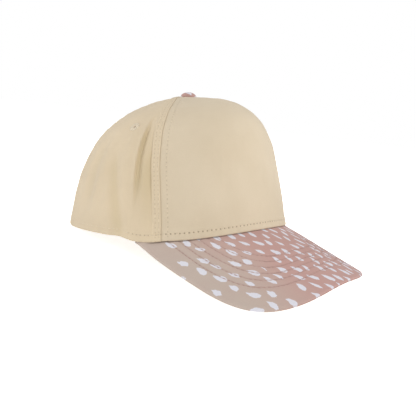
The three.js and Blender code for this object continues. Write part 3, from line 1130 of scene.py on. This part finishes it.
# Dusty rose running to tan, with pale brushed dabs that all lean one way
def printMaterial(name, rows=True):
    material, tree, shader = newMaterial(name, 0.8, 0.12)
    rose, deepRose, tan, mauve, dab = (
        linear(dabPrint[key]) for key in ("rose", "deepRose", "tan", "mauve", "dab"))
    board, across, _ = uvOf(tree, "board")
    scale, detail, reach = dabPrint["drift"]
    toTan = ramp((noiseOf(board, scale, detail) - 0.5) * reach - across, *dabPrint["tanRange"])
    colour = mixColour(toTan, rose, tan)
    colour = mixColour(ramp(across, *dabPrint["mauveRange"]), colour, mauve)
    colour = mixColour(patches(board, *dabPrint["blotch"]), colour, deepRose)
    colour = mixColour(brushDabs(board, toTan) * dabPrint["strength"], colour, dab)
    colour = mixColour(patches(board, *dabPrint["yarn"]), colour, deepRose)
    if rows:
        colour = visorLines(tree, colour, toTan)
    colour.link(shader.inputs["Base Color"])
    yarn = bumpOf(noiseOf(board, *dabPrint["yarn"][:2]), dabPrint["yarnHeight"])
    uneven(objectPlace(tree), *dabPrint["unevenness"], yarn).link(shader.inputs["Normal"])
    return material


# How far outside the crown's outer wall the points lie, seen from above
def crownReach(points):
    x, y = points[..., 0], points[..., 1]
    share = np.hypot(x / rimHalfWidth, y / rimFront)
    return np.hypot(x, y) * (1 - 1 / share)


# The stitches on top of the visor and under it
def visorStitchRows():
    rows = []
    step = 0.5
    clear, rearmost = visorDetail["underCrown"]
    direction = np.linspace(-math.pi / 2, math.pi / 2, 400)
    for k in range(visor["rows"]):
        inset = visor["firstRow"] + k * visor["rowStep"]
        across, ahead = visorOutline(direction, inset, visor["frontRow"])
        for below, sign in ((visorDetail["threadSink"], 1), (visor["thickness"], -1)):
            points = visorPoint(across, ahead, below)
            sideways = visorPoint(across + step, ahead, below) - points
            forward = visorPoint(across, ahead + step, below) - points
            normal = unit(np.cross(forward, sideways) * sign)
            keep = (crownReach(points) > clear) & (points[:, 1] < rearmost)
            rows.append(alongRow(points[keep], normal[keep], runLength(points, 0)[keep]))
    return rows


# Joins the cover's two ends and closes it at the sides
def closeCover(piece):
    focus(piece)
    mode("EDIT")
    bpy.ops.mesh.select_all(action="SELECT")
    bpy.ops.mesh.remove_doubles(threshold=0.01 * mm)
    bpy.ops.mesh.select_all(action="DESELECT")
    bpy.ops.mesh.select_mode(type="EDGE")
    bpy.ops.mesh.select_non_manifold(extend=False, use_boundary=True, use_wire=False, use_multi_face=False,
                                     use_non_contiguous=False, use_verts=False)
    bpy.ops.mesh.edge_face_add()
    bpy.ops.mesh.select_all(action="SELECT")
    bpy.ops.mesh.normals_make_consistent(inside=False)
    mode("OBJECT")


def makeVisor():
    board, depths = visorGrid()
    across, ahead = board[..., 0], board[..., 1]
    inset = rowInset(across, ahead, visor["frontRow"])
    printed = visorDetail["topRows"] + visorDetail["edgeRows"]
    onTop = (np.arange(len(board)) < printed - visorDetail["edgeRows"] // 2)[:, None]
    relief = visorRowsRelief(inset) * np.where(depths > visor["thickness"] / 2, -1, 1)
    flat = np.stack([across, ahead, 0 * across], -1)
    soft = waves(flat, *visorDetail["unevenness"]) * np.where(onTop, 1, -1)
    fromInner = np.linalg.norm(board - board[:1], axis=-1)
    calm = smoothStep(inset, *visorDetail["calm"]) * smoothStep(fromInner, *visorDetail["calm"])
    points = visorPoint(across, ahead, depths + (relief + soft) * calm)
    maps = {
        "board": board,
        "cloth": board,
        "rows": pair(inset, runLength(points, 1)),
        "join": pair(crownReach(points), rowInset(across, ahead, 0)),
    }
    piece = gridMesh("visorCover", points, maps)
    piece.data.materials.append(printMaterial("visorPrint"))
    piece.data.materials.append(twillMaterial("underVisorTwill", ()))
    for face in piece.data.polygons:
        row = face.index // (visorDetail["columns"] - 1)
        face.material_index = 1 if printed <= row < len(board) - 2 else 0
    closeCover(piece)
    finishPiece(piece, None, "visor")
    roseThread = threadMaterial("roseThread", "rose")
    stitchRows("visorStitches", visorStitchRows(), roseThread, visorDetail["thread"])


makeVisor()
print("visor sewn")

# Sweatband and back strap
# Degrees from the front at the end or start, low and high climb, depth under the crown's face,
# thickness, roll of the edges, corners along and across, and the flat size in metres
bands = {
    "sweatband": {"end": 141.0, "climb": (0.0, 0.1396), "depth": 2.5, "thickness": 1.3, "roll": 0.35,
                  "corners": (300, 24), "flat": (0.46, 0.026)},
    "strap": {"end": 143.5, "climb": (0.01, 0.11), "depth": 2.5, "thickness": 1.8, "roll": 0.4,
              "corners": (110, 20), "flat": (0.115, 0.020)},
    "bandHoles": (("nearSeam", 3.0, 0.4), ("farSeam", 2.5, 0.4)),
    "bandUneven": (0.35, 91, 45.0),    # height, seed and longest wave
    "strapRow": 2.2,                   # distance of the strap's rows from its edges
    "strapHole": 0.4,
    "strapGroove": (0.25, 0.6),
}


# A band's surface under the crown's face, with its angles and climbs
def bandGrid(size, first, last):
    along, across = size["corners"]
    angle, climb = np.meshgrid(np.linspace(first, last, along), np.linspace(*size["climb"], across))
    return angle, climb, crownPoint(angle, climb, size["depth"])


def bandMaps(points):
    across, upward = runLength(points, 1), runLength(points, 0)
    return {
        "cloth": pair(across, upward),
        "nearSeam": pair(upward, across),
        "farSeam": pair(upward[-1:] - upward, across),
    }


def makeSweatband():
    size = bands["sweatband"]
    end = math.radians(size["end"])
    angle, climb, points = bandGrid(size, -end, end)
    sag = climb / size["climb"][1] * waves(points, *bands["bandUneven"])
    points = raised(points, angle, climb, -np.abs(sag))
    piece = gridMesh("sweatbandTape", points, bandMaps(points))
    giveWall(piece, size["thickness"], size["roll"])
    material = twillMaterial("sweatbandTwill", bands["bandHoles"], twill["bandTint"])
    finishPiece(piece, material, "sweatband")


def makeStrap():
    size = bands["strap"]
    end = math.radians(size["end"])
    angle, climb, points = bandGrid(size, end, 2 * math.pi - end)
    maps = bandMaps(points)
    row = bands["strapRow"]
    depth, half = bands["strapGroove"]
    edge = np.minimum(maps["nearSeam"][..., 0], maps["farSeam"][..., 0])
    points = raised(points, angle, climb, -depth * bell(edge - row, half))
    piece = gridMesh("backStrapTape", points, maps)
    giveWall(piece, size["thickness"], size["roll"])
    holes = [(side, row, bands["strapHole"]) for side in ("nearSeam", "farSeam")]
    finishPiece(piece, twillMaterial("strapTwill", holes), "back_strap")
    upward, along = maps["nearSeam"][..., 0], maps["cloth"][..., 0]
    rows = [rimRow(points, upward, along, offset) for offset in (row, upward[-1, 0] - row)]
    stitches = stitchRows("strapStitches", rows, creamThread)


makeSweatband()
makeStrap()
print("bands made")

# Button and eyelets
button = {
    "radius": 6.8,
    "height": 4.5,
    "seat": 106.9,
    "lift": 0.55,                      # of its widest place over the seat
    "under": 0.18,                     # its lower half's height beside the upper one's
    "fullness": 0.9,                   # power of its upward curve: low is full
    "gathers": (14, 0.018, -0.05, 0.25),   # number, depth, level and spread, as shares of its size
    "print": (4.2, -5.3),              # the place in the print that is its middle
    "washer": (6.0, 1.0, 3.5, 0.3),    # radius, thickness, inset of its inner step, rounding
    "washerDrop": 3.0,                 # under the seat
}


def moveMesh(piece, matrix):
    piece.data.transform(matrix)
    piece.data.update()


def makeButton():
    bpy.ops.mesh.primitive_uv_sphere_add(segments=56, ring_count=32, radius=1)
    piece = newest("buttonCover")
    x, y, z = cornersOf(piece).T
    count, depth, level, spread = button["gathers"]
    gather = 1 + depth * np.cos(count * np.arctan2(y, x)) * bell(z - level, spread)
    wide = button["radius"] * gather
    high = button["height"] * np.where(z < 0, button["under"], 1.0)
    up = np.sign(z) * np.abs(z) ** button["fullness"] * high + button["seat"] + button["lift"]
    setCorners(piece, toFrame(np.stack([x * wide, y * wide, up], -1)))
    reach = button["radius"] * np.arcsin(np.clip(np.hypot(x, y), 0, 1))
    giveMaps(piece, {"board": pair(x * reach, y * reach) + button["print"]})
    finishPiece(piece, printMaterial("buttonPrint", False), "top_button")


def makeWasher():
    radius, thickness, inset, rounding = button["washer"]
    height = button["seat"] - button["washerDrop"]
    bpy.ops.mesh.primitive_cylinder_add(vertices=40, radius=radius * mm, depth=thickness * mm,
                                        location=(0, 0, height * mm))
    washer = newest("buttonWasher")
    editFaces(washer, lambda face: abs(face.normal.z) > 0.9)
    bpy.ops.mesh.inset(thickness=inset * mm)
    mode("OBJECT")
    bpy.ops.object.transform_apply(location=True, rotation=True, scale=True)
    roundEdges(washer, rounding, 30)
    lean = Matrix.Rotation(-math.radians(stance["lean"]), 4, "X")
    moveMesh(washer, Matrix.Translation(Vector(stance["shift"]) * mm) @ lean)
    finishPiece(washer, threadMaterial("washerTin", "tin"), None)


def makeEyelet(side, kind):
    point, normal = eyeletPlace(side, kind)
    outer, inner = eyelets["radius"], eyelets["hole"]
    bpy.ops.mesh.primitive_torus_add(major_segments=180, minor_segments=14,
                                     major_radius=(outer + inner) / 2, minor_radius=(outer - inner) / 2)
    piece = newest(f"{kind}Eyelet{sideWord(side)}")
    x, y, z = cornersOf(piece).T
    turn, out = np.arctan2(y, x), np.hypot(x, y)
    flatness, lift, below = eyelets["rise"]
    standUp, standOut = eyelets["rib"]
    rib = np.cos(eyelets["ribs"] * turn)
    height = z * flatness * (1 + standUp * np.abs(rib)) * np.where(z < 0, below, 1.0)
    out = out * (1 + standOut * rib * np.clip((out - inner) / (outer - inner), 0, 1))
    setCorners(piece, np.stack([out * np.cos(turn), out * np.sin(turn), height + lift], -1) * mm)
    turnTo = normal.to_track_quat("Z", "Y").to_matrix().to_4x4()
    moveMesh(piece, Matrix.Translation(point) @ turnTo)
    finishPiece(piece, eyeletThread, f"eyelet_{kind}_{sideWord(side).lower()}")


makeButton()
makeWasher()
for side in (-1, 1):
    for kind in ("side", "back"):
        makeEyelet(side, kind)
print("button and eyelets made")

# Floor and light
studio = {
    "floor": (246, 246, 246),
    "grain": ((225, 225, 225), 60, 2, 0.02),   # colour, noise scale and detail, and share
    "world": (0.36, 1.0),                      # light on the cap, and the white seen behind it
    "floorGlow": (0.27, 0.80),                 # the same of the floor
    "aim": (0.0, 0.0, 0.06),                   # metres, where the lamps point
    # name, place, size in metres, power in watts
    "lamps": (
        ("rightLamp", (1.2, -1.1, 0.8), 0.7, 9.0),
        ("frontLamp", (-0.75, -1.5, 0.7), 0.45, 9.5),
        ("rearLamp", (-1.1, 1.2, 0.8), 0.8, 9.5),
        ("topLamp", (0.0, 0.2, 1.8), 1.0, 5.5),
    ),
}


# Strength of a light that the camera sees stronger than the cap does
def seenStrength(tree, lit, seen):
    seenByCamera = addNode(tree, "LightPath", output="Is Camera Ray")
    return addNode(tree, "MapRange", {"Value": seenByCamera, "To Min": lit, "To Max": seen})


def makeStudio():
    bpy.ops.mesh.primitive_plane_add(size=60)
    floor = newest("floor")
    material, tree, shader = newMaterial("floorPaper", 0.9, 0.0)
    grain, scale, detail, share = studio["grain"]
    speckle = noiseOf(objectPlace(tree), scale, detail) * share
    mixColour(speckle, linear(studio["floor"]), linear(grain)).link(shader.inputs["Base Color"])
    shader.inputs["Emission Color"].default_value = (1, 1, 1, 1)
    seenStrength(tree, *studio["floorGlow"]).link(shader.inputs["Emission Strength"])
    floor.data.materials.append(material)
    world = bpy.data.worlds.new("studio")
    bpy.context.scene.world = world
    world.use_nodes = True
    background = world.node_tree.nodes["Background"]
    background.inputs["Color"].default_value = (1, 1, 1, 1)
    seenStrength(world.node_tree, *studio["world"]).link(background.inputs["Strength"])
    for name, place, size, power in studio["lamps"]:
        bpy.ops.object.light_add(type="AREA", location=place)
        lamp = newest(name)
        lamp.data.size = size
        lamp.data.energy = power
        aim = Vector(studio["aim"]) - Vector(place)
        lamp.rotation_euler = aim.to_track_quat("-Z", "Y").to_euler()
    bpy.context.scene.view_settings.view_transform = "Standard"


makeStudio()
print("studio lit")
